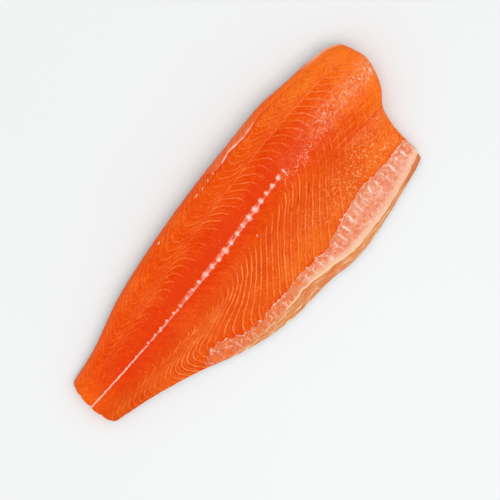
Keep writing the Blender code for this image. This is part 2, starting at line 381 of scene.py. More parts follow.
class FILLET_PG_colours(bpy.types.PropertyGroup):
    """Colours of the flesh and the skin."""

    deep: colour_property("Deep", "Flesh beside the backbone", srgb(226, 58, 2))
    middle: colour_property("Middle", "Most of the flesh", srgb(235, 80, 5))
    light: colour_property("Light", "Flesh at the head and the edges", srgb(250, 117, 26))
    # Painted shade: the shade colour darkens the flesh below the backbone, most of all at the tail.
    shade: colour_property("Shade", "Duller flesh towards the belly", srgb(200, 70, 2))
    # The dark colour is the deep red inside the slits with painted shade in it.
    dark: colour_property("Dark", "Inside of the slits", srgb(196, 42, 0))
    line: colour_property("Line", "Connective tissue between segments", srgb(250, 148, 76))
    fat: colour_property("Fat", "Bone ends and the pale tissue at the backbone", srgb(244, 170, 148))
    strip: colour_property("Strip", "Belly strip", srgb(237, 151, 116))
    streak: colour_property("Streak", "White streaks in the belly strip", srgb(250, 204, 184))
    # White also serves for painted glints on the wet flesh beside the back.
    white: colour_property("White", "Brightest connective tissue", srgb(255, 226, 212))
    # Painted glints and highlights of the wet parts; the pale threads share this colour.
    glint_and_thread: colour_property("Gloss", "Bright specks of the wet parts", srgb(255, 184, 146))
    blush: colour_property("Blush", "Redder parts of the belly strip", srgb(228, 107, 54))
    cream: colour_property("Cream", "Fat along the ridge of the belly", srgb(252, 218, 172))
    tan: colour_property("Tan", "Trimmed face of the belly", srgb(222, 140, 82))
    brown: colour_property("Brown", "Dark marks in the trimmed face", srgb(178, 84, 44))


# ---------------------------------------------------------------- node helpers

# The mix node's sockets for two colours, which share their names with those for two numbers
MIX_ONE, MIX_OTHER, MIX_RESULT = 6, 7, 2


class Sheet:
    """Writes one material's nodes."""

    def __init__(self, name):
        self.material = bpy.data.materials.new(name)
        self.material.use_nodes = True
        self.tree = self.material.node_tree
        self.shader = self.tree.nodes["Principled BSDF"]
        self.place = self.node("ShaderNodeTexCoord").outputs["Object"]

    def node(self, kind, **settings):
        made = self.tree.nodes.new(kind)
        for key, value in settings.items():
            setattr(made, key, value)
        return made

    def put(self, socket, value):
        if isinstance(value, bpy.types.NodeSocket):
            self.tree.links.new(value, socket)
        elif socket.type == "RGBA":
            socket.default_value = (*value, 1)
        else:
            socket.default_value = value

    def math(self, operation, *values, clamp=False):
        made = self.node("ShaderNodeMath", operation=operation, use_clamp=clamp)
        for socket, value in zip(made.inputs, values):
            self.put(socket, value)
        return made.outputs[0]

    def add(self, *values):
        return reduce(partial(self.math, "ADD"), values)

    def times(self, *values):
        return reduce(partial(self.math, "MULTIPLY"), values)

    def step(self, value, low, high):
        """0 below low and 1 above high, smooth between; the other way round if low is above high."""
        made = self.node("ShaderNodeMapRange", interpolation_type="SMOOTHSTEP")
        flipped = low > high
        for key, number in (("Value", value), ("From Min", min(low, high)), ("From Max", max(low, high)),
                            ("To Min", 1 if flipped else 0), ("To Max", 0 if flipped else 1)):
            self.put(made.inputs[key], number)
        return made.outputs["Result"]

    def near(self, value, place, far, close):
        """1 where the value is within close of a place, fading to 0 at far from it."""
        offset = self.add(value, -place) if place else value
        return self.step(self.math("ABSOLUTE", offset), far, close)

    def attribute(self, name):
        return self.node("ShaderNodeAttribute", attribute_name=name).outputs["Fac"]

    def mix(self, share, one, other):
        made = self.node("ShaderNodeMix", data_type="RGBA")
        self.put(made.inputs["Factor"], share)
        self.put(made.inputs[MIX_ONE], one)
        self.put(made.inputs[MIX_OTHER], other)
        return made.outputs[MIX_RESULT]

    def coats(self, colour, *coats):
        """Colours laid over one another, each coat as (share, colour)."""
        for share, coat in coats:
            colour = self.mix(share, colour, coat)
        return colour

    def vector(self, x=0.0, y=0.0, z=0.0):
        made = self.node("ShaderNodeCombineXYZ")
        for socket, value in zip(made.inputs, (x, y, z)):
            self.put(socket, value)
        return made.outputs[0]

    def noise(self, vector, scale, detail=2.0, roughness=0.5, distortion=0.0):
        made = self.node("ShaderNodeTexNoise")
        for key, value in (("Vector", vector), ("Scale", scale), ("Detail", detail),
                           ("Roughness", roughness), ("Distortion", distortion)):
            self.put(made.inputs[key], value)
        return made.outputs["Fac"]

    def spots(self, scale, low, high, detail=2.0, roughness=0.5, distortion=0.0):
        """Cloudy patches: 0 where the noise is below low and 1 where it is above high."""
        return self.step(self.noise(self.place, scale, detail, roughness, distortion), low, high)

    def split(self, vector):
        made = self.node("ShaderNodeSeparateXYZ")
        self.put(made.inputs[0], vector)
        return made.outputs

    def bump(self, height, distance, strength=1.0, normal=None):
        made = self.node("ShaderNodeBump")
        self.put(made.inputs["Height"], height)
        self.put(made.inputs["Distance"], distance)
        self.put(made.inputs["Strength"], strength)
        if normal is not None:
            self.put(made.inputs["Normal"], normal)
        return made.outputs["Normal"]


def wet(sheet, roughness, coat, subsurface, scale):
    """The shader settings of wet flesh."""
    inputs = sheet.shader.inputs
    inputs["Metallic"].default_value = 0
    inputs["IOR"].default_value = 1.38
    inputs["Specular IOR Level"].default_value = 0.03
    inputs["Coat Weight"].default_value = coat
    inputs["Coat Roughness"].default_value = 0.06
    inputs["Coat IOR"].default_value = 1.34
    inputs["Subsurface Weight"].default_value = subsurface
    inputs["Subsurface Radius"].default_value = (1.0, 0.3, 0.12)
    inputs["Subsurface Scale"].default_value = scale
    sheet.put(inputs["Roughness"], roughness)


# ---------------------------------------------------------------- meshes

def deselect():
    if bpy.context.object and bpy.context.object.mode != "OBJECT":
        bpy.ops.object.mode_set(mode="OBJECT")
    bpy.ops.object.select_all(action="DESELECT")


def numbers(attribute, count):
    values = np.empty(count, np.float32)
    attribute.data.foreach_get("value", values)
    return values.astype(float)


def store(mesh, name, values):
    attribute = mesh.attributes.get(name) or mesh.attributes.new(name, "FLOAT", "POINT")
    attribute.data.foreach_set("value", np.asarray(values, np.float32))


def patch(name, rows_along, rows_across):
    """A grid whose vertices keep their place along and across."""
    deselect()
    bpy.ops.mesh.primitive_grid_add(x_subdivisions=rows_along, y_subdivisions=rows_across, size=1)
    piece = bpy.context.object
    piece.name = piece.data.name = name
    mesh = piece.data
    corners = np.empty(len(mesh.vertices) * 3, np.float32)
    mesh.vertices.foreach_get("co", corners)
    corners = corners.reshape(-1, 3).astype(float) + 0.5
    store(mesh, "along", corners[:, 0])
    store(mesh, "across", corners[:, 1])
    store(mesh, "depth", np.zeros(len(corners)))
    return piece


def grow_wall(piece, rings, inner_rings):
    """Extrudes the edge of the piece in rings, whose depth runs from 0 to 1, then in inner rings
    of depth 2, 3 and so on, and closes it."""
    mesh = piece.data
    bpy.ops.object.mode_set(mode="EDIT")
    bpy.ops.mesh.select_mode(type="VERT")
    bpy.ops.mesh.select_all(action="DESELECT")
    bpy.ops.mesh.select_non_manifold()
    depths = [*np.linspace(0, 1, rings + 1)[1:], *range(2, 2 + inner_rings)]
    for depth in depths:
        before = len(mesh.vertices)
        bpy.ops.mesh.extrude_region_move()
        bpy.ops.object.mode_set(mode="OBJECT")
        values = numbers(mesh.attributes["depth"], len(mesh.vertices))
        values[before:] = depth
        store(mesh, "depth", values)
        bpy.ops.object.mode_set(mode="EDIT")
    bpy.ops.mesh.edge_face_add()
    bpy.ops.mesh.select_all(action="DESELECT")
    bpy.ops.object.mode_set(mode="OBJECT")


def places_of(mesh):
    count = len(mesh.vertices)
    return [numbers(mesh.attributes[name], count) for name in ("along", "across", "depth")]


def points_of(mesh):
    """The vertices, in millimetres."""
    points = np.empty(len(mesh.vertices) * 3, np.float32)
    mesh.vertices.foreach_get("co", points)
    return points.reshape(-1, 3) / MM


def set_points(mesh, points):
    mesh.vertices.foreach_set("co", np.asarray(points * MM, np.float32).ravel())
    mesh.update()


def finish_piece(piece, material, node=None):
    """Smooth faces that point outwards, one material, and the piece's place in the frame."""
    deselect()
    piece.select_set(True)
    bpy.context.view_layer.objects.active = piece
    bpy.ops.object.mode_set(mode="EDIT")
    bpy.ops.mesh.select_all(action="SELECT")
    bpy.ops.mesh.normals_make_consistent(inside=False)
    bpy.ops.object.mode_set(mode="OBJECT")
    bpy.ops.object.shade_smooth()
    piece.data.materials.clear()
    piece.data.materials.append(material)
    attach(piece, "root")
    if node:
        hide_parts(node)


def spread(t, amount):
    """Moves grid lines towards both edges."""
    return (1 - amount) * t + amount * (1 - np.cos(np.pi * t)) / 2


def inset_at(depth):
    """How far a vertex lies inwards from the edge: only the inner rings, of depth 2 and more, do."""
    inner = [2 + k for k in range(len(UNDER_INSETS))]
    return np.interp(depth, [0, 1, *inner], (0, 0, *UNDER_INSETS))


# ---------------------------------------------------------------- flesh

# Shares of the plan by which the flesh stays inside the skin, at the cuts and at the two long edges
CUT_INSET, EDGE_INSET = 0.002, 0.004
GAP = 0.3  # between the skin and the flesh
ROW_DENSITY, COLUMN_DENSITY = 0.1, 0.35  # how much closer the grid lines are at the edges
WALL_RINGS = 12
LEAST_THICKNESS = 0.8
WALL_SWELL = 0.35
CUT_SEGMENTS = 2.2  # segments that a cut end passes through from top to bottom
HEAD_ROUND, TAIL_ROUND, CUT_HEIGHT = 5, 4, 0.72
UNDER_INSETS = (3, 6.5, 10)  # rings under the flesh and on the skin, inwards from the edge
USUAL_WIDTH = 90
LENGTH = 282  # along the middle, from the belly corner of the tail cut to the tip of the head cut


def shrunk(along, across, amount):
    """Places moved inwards by an amount, outwards if it is negative."""
    width = np.linalg.norm(smooth_through(BACK_EDGE, along) - smooth_through(BELLY_EDGE, along), axis=1)
    u = amount / LENGTH + along * (1 - 2 * amount / LENGTH)
    v = amount / width + across * (1 - 2 * amount / width)
    return u, v


def skin_top(along, across):
    return underside(along, across) + SKIN_THICKNESS


def flesh_top(along, across):
    from_tail = np.clip(along * LENGTH / TAIL_ROUND, 0, 1)
    from_head = np.clip((1 - along) * LENGTH / HEAD_ROUND, 0, 1)
    fall = np.sqrt(1 - (1 - from_tail) ** 2) * np.sqrt(1 - (1 - from_head) ** 2)
    full = thickness(along, across) * (CUT_HEIGHT + (1 - CUT_HEIGHT) * fall)
    return skin_top(along, across) + GAP + full


def beyond(points, x, y):
    """How far a place lies on the belly side of a line, in millimetres."""
    rise = (height_of(points, x + 1) - height_of(points, x - 1)) / 2
    return (height_of(points, x) - y) / np.sqrt(1 + rise**2)


def strip_depth(x, y):
    """How far a place lies inside the belly strip, whose upper edge is scalloped towards the tail."""
    scallops = 1.5 * np.abs(np.sin(np.pi * (x + 57) / 5.6)) * band(x, -80, -26, 12)
    ragged = 0.9 * layered(x / 2.6, y / 2.6, 31) + 0.55 * layered(x / 0.9, y / 0.9, 32, 2)
    return beyond(STRIP_TOP, x, y) - scallops + ragged - 60 * ease((-72 - x) / 9)


def streak_distance(x, y, inside):
    """Distance to the nearest white streak of the strip."""
    wander = 0.9 * layered(x / 5, y / 3.2, 41) + 0.3 * layered(x / 1.1, y / 1.1, 42, 2)
    starts = np.array(STREAKS)
    moved = x - STREAK_LEAN * inside + wander
    return np.min(np.abs(moved[:, None] - starts), axis=1)


def slit_depth(x, y):
    """1 in the middle of each gaping slit."""
    depth = np.zeros_like(x)
    for slit_x, slit_y, half, turn in SLITS:
        c, s = np.cos(np.radians(turn)), np.sin(np.radians(turn))
        forward = (x - slit_x) * c + (y - slit_y) * s
        aside = -(x - slit_x) * s + (y - slit_y) * c
        depth = np.maximum(depth, ease((half - np.abs(forward)) / 1.8 + 0.4) * bump(aside, 0, 0.5))
    return depth


def line_strength(f, x, y, up, down):
    """How clearly the lines between the segments show. up is the share of the way from the
    backbone to the back edge, and down the distance below the backbone."""
    begins = 7 - 5 * ease((x - 10) / 30)
    on_back = ease((f["above"] - begins) / 9) * (0.42 + 0.38 * band(up, 0.25, 0.58, 0.1))
    on_back *= (0.85 + 0.15 * ease((x + 75) / 50)) * band(up, -1, 0.93, 0.1)
    on_back *= 1 - 0.35 * band(up, 0, 0.62, 0.1) * ease((10 - x) / 40)
    on_back *= 1 - 0.3 * band(up, 0, 0.56, 0.1) * ease((x - 10) / 30)
    on_back *= 1 + 0.3 * ease((x - 55) / 40)
    starts_below = np.interp(x, (-90, -40, 12, 60), (13, 17, 14, 6.5))
    visible = 0.12 + 0.88 * ease((down - starts_below) / 5 + 0.5)
    on_belly = visible * ease(down / 4) * (0.42 + 0.78 * band(x, -98, 60, 44))
    patchy = np.clip(0.75 + 0.5 * layered(x / 9, y / 9, 63), 0.2, 1)
    crowded = ease((f["spacing"] - 0.7) / 1.2)
    return (on_back + on_belly) * patchy * crowded * ease(-f["strip"] / 1.5 + 0.5)


def flesh_tone(x, y, above, down):
    """0 for the deepest red and 1 for the lightest orange."""
    tone = 0.42 + 0.12 * layered(x / 16, y / 16, 64)
    # redder along the backbone
    tone -= 0.36 * bump(above, 8, 13) * band(x, -110, 95, 60)
    tone -= 0.2 * bump(above, -4, 7) * band(x, -150, 10, 30)
    # lighter towards the back edge
    tone += 0.12 * ease((above - 24) / 10)
    tone += 0.16 * ease((above - 16) / 10) * ease((x - 10) / 40)
    tone += 0.12 * bump(above, 9, 9) * ease((x - 15) / 30)
    # lighter towards the head, the tail cut and the belly
    tone += 0.42 * ease((x - 74) / 50) + 0.2 * ease((x - 122) / 12)
    tone += 0.2 * ease((-x - 112) / 25)
    tone += 0.22 * ease((down - 26) / 16) * ease((x + 40) / 40)
    tone += 0.12 * ease((down - 14) / 20)
    return np.clip(tone, 0, 1)


def wet_and_glint_masks(x, y):
    """Where the flesh has wet bumps and painted glints beside the back and at the belly, both near the head.
    """
    back = bump(y, 20, 6.5) * (0.16 * ease((x - 40) / 30) + 0.84 * ease((x - 66) / 42))
    back += 0.25 * bump(y, -5.5, 3.5) * ease((x - 85) / 20)
    belly = bump(y, -19, 11) * (0.35 * ease((x - 12) / 30) + 0.65 * ease((x - 45) / 35))
    return np.clip(back, 0, 1), np.clip(belly, 0, 1)


def fields(x, y, pitch):
    """What the relief and the colours need to know about each place."""
    f = {}
    wobble = 0.07 * layered(x / 5, y / 5, 51) + 0.035 * layered(x / 1.3, y / 1.3, 52, 2)
    f["segment"] = segment(x, y, pitch) + wobble
    f["spacing"] = line_spacing(x, y, pitch)

    spine, back, belly = edges_at(x)
    f["above"] = y - spine
    f["strip"] = strip_depth(x, y)
    f["ridge"] = beyond(RIDGE, x, y) + 0.35 * layered(x / 4, y / 4, 61)
    f["streak"] = streak_distance(x, y, np.clip(f["strip"], 0, 20))
    f["flap"] = -beyond(FLAP_LINE, x, y) + 0.4 * layered(x / 2, y / 2, 62)
    f["flap"] -= 7 * (1 - band(x, 20, 136, 16)) + 0.5
    f["rim"] = np.minimum(back - y, y - belly)
    f["seam"] = -beyond(SEAM, x, y) + 0.35 * layered(x / 3, y / 3, 66)
    f["dark_fibre"] = beyond(DARK_FIBRES, x, y) + 0.5 * layered(x / 8, y / 8, 67)
    f["fat_line"] = beyond(FAT_LINE, x, y) + 0.4 * layered(x / 5, y / 5, 68)
    f["slit"] = slit_depth(x, y)
    f["fold"] = beyond(FOLD, x, y) + 60 * (1 - band(x, -16, 26, 6))

    down = np.clip(-f["above"], 0, None)
    up = np.clip(f["above"] / (back - spine), 0, 1)
    f["lines"] = line_strength(f, x, y, up, down)
    f["tone"] = flesh_tone(x, y, f["above"], down)
    # Painted shade below the backbone, most at the tail and less towards the head.
    f["painted_shade"] = 0.55 * ease((down - 3) / 14) + 0.45 * ease((-x - 95) / 30) * ease((down - 2) / 6)
    f["painted_shade"] *= 1 - 0.6 * ease((x - 85) / 30)
    f["wet_glint_back"], f["wet_glint_belly"] = wet_and_glint_masks(x, y)
    f["fibres"] = band(y, -5, 8, 5) * ease((x - 62) / 25)
    f["tissue"] = band(x, 47, 98, 14) * bump(y, 12.5, 4.2)
    return f


def relief(f, x, y, shape):
    """Height of the fine forms over the plain top of the flesh, in millimetres."""
    mm = {key: getattr(shape, key) / MM for key in ("line_relief", "wet_relief", "waves", "strip_step")}
    part = f["segment"] - np.floor(f["segment"])
    distance = np.minimum(part, 1 - part) * f["spacing"]
    height = mm["waves"] * layered(x / 28, y / 17, 71) + 0.12 * layered(x / 6, y / 5, 72)
    height += mm["line_relief"] * f["lines"] * (np.exp(-((distance / 0.55) ** 2)) + 0.8 * (1 - part))
    pebbles = np.clip(layered(x / 1.6, y / 1.3, 73, 2), 0, 1) ** 1.2
    height += mm["wet_relief"] * np.maximum(f["wet_glint_back"], f["wet_glint_belly"]) * pebbles
    height += 0.2 * f["fibres"] * layered(x / 12, y / 1.1, 79)
    height += 0.05 * layered(x / 1.4, y / 1.4, 74, 2)

    inside = ease(f["strip"] / 1.1)
    lip = bump(f["strip"], -0.6, 0.9)
    height += 0.22 * lip - mm["strip_step"] * inside
    height += inside * 0.28 * layered(x / 2.6, y / 3.4, 75) * ease(-f["ridge"] / 2 + 1)
    reach = ease((f["strip"] - 1) / 2) * ease((12 - f["strip"]) / 6)
    height += inside * 0.32 * np.exp(-((f["streak"] / 0.8) ** 2)) * ease(-f["ridge"] / 1.5) * reach

    on_ridge = band(x, -58, 118, 24)
    height += 0.55 * bump(f["ridge"], 0, 0.8) * on_ridge
    below = ease(f["ridge"] / 0.8) * ease((x + 90) / 20)
    height += below * 0.5 * layered(x / 9 + 3, f["ridge"] / 0.95, 76, 3)

    height += 0.55 * ease(f["flap"] / 0.7) - 0.5 * bump(f["flap"], -0.7, 0.6)
    height += 0.22 * ease(f["flap"] / 2) * layered((x + y) / 1.5, (x - y) / 5, 77)
    height += 0.14 * bump(f["fold"], -0.8, 1.6) - 0.12 * bump(f["fold"], 0.7, 0.9)
    near_edge = ease((4 - f["rim"]) / 4)
    height += 0.3 * near_edge * layered(x / 7, f["rim"] / 1.2, 78)
    height -= 0.15 * f["slit"]
    sunk = bump(f["above"], 0, 1.6) * band(x, -135, 60, 20)
    return height - 0.18 * sunk - 0.2


def bone_halo(x, y):
    """1 at each bone end, fading around it."""
    halo = np.zeros_like(x)
    for bone_x, bone_y, length, width in BONE_ENDS:
        far = ((x - bone_x) / (length * 0.72)) ** 2 + ((y - bone_y) / (width * 0.66)) ** 2
        halo = np.maximum(halo, np.exp(-far * 1.1))
    return halo


def build_flesh(shape, colours):
    piece = patch("flesh_detail", shape.rows_along, shape.rows_across)
    grow_wall(piece, WALL_RINGS, len(UNDER_INSETS))
    mesh = piece.data
    u, v, depth = places_of(mesh)
    u = CUT_INSET + (1 - 2 * CUT_INSET) * spread(u, ROW_DENSITY)
    v = EDGE_INSET + (1 - 2 * EDGE_INSET) * spread(v, COLUMN_DENSITY)

    spot = plan(u, v)
    x, y = spot.T
    f = fields(x, y, shape.pitch / MM)
    f["bone"] = bone_halo(x, y)
    top = flesh_top(u, v) + relief(f, x, y, shape)
    low = skin_top(u, v) + GAP
    top = np.maximum(top, low + LEAST_THICKNESS)

    wall = np.clip(depth, 0, 1)
    swell = np.sin(np.pi * wall)
    rough = 0.22 * layered((x + y) / 3, wall * 6, 81) + 0.12 * layered((x + y) / 1.1, wall * 14, 82, 2)
    outwards = swell * (WALL_SWELL + rough)
    under_u, under_v = shrunk(u, v, inset_at(depth) - outwards)
    spot = plan(under_u, under_v)
    z = top + (low - top) * wall
    z = np.where(depth > 1, skin_top(under_u, under_v) + GAP, z)
    set_points(mesh, np.column_stack([spot, z]))

    to_cut = np.minimum(u, 1 - u)
    at_cut = ease((2 * CUT_INSET - to_cut) / CUT_INSET)
    f["wall"] = wall
    f["cut"] = wall * at_cut
    f["segment"] += CUT_SEGMENTS * wall * at_cut
    for name, values in f.items():
        store(mesh, name, values)
    finish_piece(piece, flesh_material(colours), "flesh")
    return piece


class FleshSheet(Sheet):
    """The sheet of the flesh, with the patterns that several of its parts share."""

    def __init__(self, name):
        super().__init__(name)
        self.x = self.split(self.place)[0]
        self.segment = self.attribute("segment")
        self.grain = self.noise(self.place, 900, 3, 0.6)
        self.coarse = self.noise(self.place, 160, 3, 0.55)
        self.broad = self.noise(self.place, 45, 2, 0.5)

    def past(self, start, full):
        """0 before start and 1 past full, in millimetres along the fillet. It falls from 1 to 0
        where start is nearer the head than full."""
        return self.step(self.x, start * MM, full * MM)

    def drawn(self, scale, name=None, across=0.0, detail=3, roughness=0.5, distortion=0.0):
        """Noise over the place along the fillet and, if one is named, an attribute across it."""
        y = self.times(self.attribute(name), across) if name else 0.0
        return self.noise(self.vector(self.times(self.x, scale), y), 1.0, detail, roughness, distortion)


def muscle(sheet, colours):
    """Red beside the backbone and light orange at the edges, with fibres and grain in it, and painted shade
    below the backbone, most at the tail.
    """
    fibre_place = sheet.vector(sheet.times(sheet.segment, 5.0), sheet.times(sheet.attribute("above"), 0.35))
    fibre = sheet.noise(fibre_place, 1.0, 3, 0.6)
    patterns = ((sheet.coarse, 0.7), (sheet.broad, 0.35), (sheet.grain, 1.5), (fibre, 0.5))
    uneven = [sheet.times(sheet.add(pattern, -0.5), weight) for pattern, weight in patterns]
    tone = sheet.add(sheet.attribute("tone"), *uneven)
    return sheet.coats(
        sheet.mix(sheet.step(tone, 0.0, 0.5), colours.deep, colours.middle),
        (sheet.step(tone, 0.5, 1.05), colours.light),
        # Painted shade over the flesh below the backbone.
        (sheet.times(sheet.attribute("painted_shade"), 0.42), colours.shade),
    )


def line_at(sheet, number, width):
    """1 where a segment's number is whole, fading to 0 at a width in millimetres from there."""
    part = sheet.math("FRACT", number)
    nearest = sheet.math("MINIMUM", part, sheet.math("SUBTRACT", 1.0, part))
    distance = sheet.times(nearest, sheet.attribute("spacing"))
    return sheet.math("SUBTRACT", 1.0, sheet.math("DIVIDE", distance, width), clamp=True)


def segment_lines(sheet, base, colours):
    """Pale lines between the segments, a band of painted shade beside each, and faint lines between them."""
    lines = sheet.attribute("lines")
    strength = sheet.times(lines, sheet.add(0.45, sheet.times(sheet.spots(380, 0.3, 0.62), 0.75)))
    # Painted shade just on the tail side of each line, where the segment falls away from the light.
    shaded_flank = sheet.times(sheet.step(sheet.math("FRACT", sheet.segment), 0.6, 1.0), strength, 0.8)
    line = line_at(sheet, sheet.segment, sheet.add(0.3, sheet.times(sheet.coarse, 0.55)))
    shown = sheet.times(line, strength)
    moved = sheet.add(sheet.segment, sheet.times(sheet.add(sheet.broad, 0.1), 0.8))
    faint = sheet.times(line_at(sheet, moved, 0.5), lines, sheet.step(sheet.broad, 0.48, 0.6), 0.35)
    base = sheet.coats(base, (shaded_flank, colours.deep), (shown, colours.line), (faint, colours.line))
    return base, shown


def seams_and_fibres(sheet, base, colours):
    """The gaping slits, the seam of the back and the long fibres beside the head cut."""
    at = sheet.attribute
    seam = sheet.times(sheet.near(at("seam"), 0, 0.65, 0.15),
                       sheet.step(sheet.drawn(260, detail=2), 0.3, 0.55), sheet.past(-30, 50), 0.3)
    fibres = sheet.drawn(70, "above", 1.1)
    dark_fibre = sheet.times(sheet.near(at("dark_fibre"), 0, 0.9, 0.2), sheet.past(75, 90), 0.6)
    return sheet.coats(
        base,
        # Painted shade inside the gaping slits, over their deep red.
        (sheet.times(sheet.step(at("slit"), 0.3, 0.75), 0.85), colours.dark),
        (seam, colours.line),
        (sheet.times(sheet.step(fibres, 0.45, 0.3), at("fibres"), 0.7), colours.deep),
        (sheet.times(sheet.step(fibres, 0.55, 0.7), at("fibres"), 0.5), colours.line),
        (dark_fibre, colours.deep),
    )


def wet_glints_and_threads(sheet, base, colours):
    """A painted sheen and painted glints beside the back, small bumps with painted highlights at the belly,
    and pale threads.
    """
    at = sheet.attribute
    back, belly = at("wet_glint_back"), at("wet_glint_belly")
    either = sheet.math("MAXIMUM", belly, back)
    worms = sheet.noise(sheet.place, 620, 3, 0.6, 0.8)
    # Painted sheen: a pale streaky film of reflected light on the wet flesh beside the back.
    painted_sheen = sheet.times(sheet.step(sheet.drawn(150, "above", 0.6), 0.4, 0.66), back, 0.5)
    # Painted glints on the wet bumps beside the back; they also raise the bumps.
    glints = sheet.times(sheet.step(worms, 0.57, 0.66), back, 0.8)
    # Thin curls: painted highlights beside the back and, fainter, at the belly; they also raise the bumps.
    curl = sheet.near(sheet.noise(sheet.place, 430, 1, 0.5, 1.4), 0.5, 0.036, 0.01)
    # Painted highlights on the small wet bumps at the belly, in the line colour and, brightest, in the glint
    # colour.
    specks = sheet.noise(sheet.place, 700, 1, 0.5, 0.6)
    thread = sheet.near(sheet.noise(sheet.place, 260, 2, 0.5, 0.9), 0.5, 0.022, 0.006)
    fat = sheet.times(sheet.near(at("fat_line"), 0, 0.8, 0.2), sheet.past(85, 140),
                      sheet.step(sheet.grain, 0.4, 0.6))
    base = sheet.coats(
        base,
        (painted_sheen, colours.line),
        (sheet.times(sheet.step(worms, 0.46, 0.36), either, 0.65), colours.deep),
        (glints, colours.glint_and_thread),
        (sheet.times(curl, back, 0.8), colours.glint_and_thread),
        (sheet.times(sheet.step(specks, 0.57, 0.64), belly, 0.85), colours.line),
        (sheet.times(sheet.step(specks, 0.66, 0.72), belly, 0.8), colours.glint_and_thread),
        (sheet.times(curl, belly, 0.4), colours.line),
        # Painted glints in white on the wet flesh beside the back.
        (sheet.times(sheet.spots(500, 0.64, 0.72), back, 0.9), colours.white),
        (sheet.times(thread, at("tissue"), sheet.step(sheet.coarse, 0.4, 0.55), 0.8), colours.glint_and_thread),
        (sheet.times(sheet.spots(760, 0.78, 0.86, 0), 0.5), colours.line),
        (fat, colours.strip),
    )
    return base, sheet.add(sheet.times(glints, 0.8), sheet.times(curl, either, 0.5))


def backbone(sheet, base, colours):
    """The pink band, the pale line along the backbone and the halos of the bone ends."""
    uneven = sheet.add(sheet.noise(sheet.place, 600, 2, 0.5), -0.5)
    above = sheet.add(sheet.attribute("above"), sheet.times(uneven, 1.4))
    pink_band = sheet.times(sheet.near(above, 0.6, 1.9, 0.7), sheet.past(-58, -46), sheet.past(31, 22),
                            sheet.spots(420, 0.3, 0.6), 0.55)

    spikes = sheet.times(sheet.step(sheet.drawn(300, detail=2), 0.58, 0.7), 0.7)
    beside = sheet.math("SUBTRACT", sheet.math("ABSOLUTE", sheet.add(above, 0.3)), spikes)
    unbroken = sheet.math("MAXIMUM", sheet.step(sheet.drawn(260, detail=2), 0.56, 0.44),
                          sheet.past(-90, -100))
    solid = sheet.add(0.35, sheet.times(unbroken, 0.65))
    pale_line = sheet.times(sheet.step(beside, 0.7, 0.15), sheet.past(60, 30), solid, 0.85)
    pale_colour = sheet.mix(sheet.past(-40, -90), colours.fat, colours.streak)

    bone = sheet.add(sheet.attribute("bone"), sheet.times(uneven, 0.9))
    return sheet.coats(
        base,
        (pink_band, colours.fat),
        (pale_line, pale_colour),
        (sheet.times(sheet.step(bone, 0.25, 0.6), 0.9), colours.fat),
        (sheet.times(sheet.step(bone, 0.66, 0.95), 0.9), colours.white),
    )


def back_edge(sheet, base, colours):
    """The pale loose rim along the back, its lip and groove, and a painted highlight along the edge where the
    back meets the head cut.
    """
    flap, rim, above = (sheet.attribute(name) for name in ("flap", "rim", "above"))
    streaks = sheet.noise(sheet.vector(sheet.times(sheet.segment, 4.0), sheet.times(rim, 0.25)), 1.0)
    flap_colour = sheet.mix(sheet.step(streaks, 0.35, 0.65), colours.blush, colours.strip)
    flap_show = sheet.times(sheet.step(flap, -0.2, 0.5), sheet.past(80, 55), sheet.past(10, 30), 0.42)
    lip = sheet.times(sheet.near(flap, 0.2, 0.8, 0.2), sheet.past(66, 56), sheet.past(26, 36),
                      sheet.step(sheet.coarse, 0.35, 0.55))
    groove = sheet.times(sheet.near(flap, -0.7, 0.7, 0.2), sheet.past(115, 90), 0.5)
    layers = sheet.times(sheet.step(rim, 5.0, 1.0), sheet.step(above, 4, 8),
                         sheet.step(sheet.drawn(110, "rim", 1.3), 0.3, 0.62), 0.55)
    # Painted highlight: a thin pale edge where the back meets the head cut.
    corner = sheet.times(sheet.past(106, 124), sheet.step(above, 14, 20), sheet.step(rim, 3.6, 0.8), 0.7)
    return sheet.coats(
        base,
        (flap_show, flap_colour),
        (lip, colours.streak),
        (groove, colours.deep),
        (layers, colours.blush),
        (corner, colours.streak),
    )


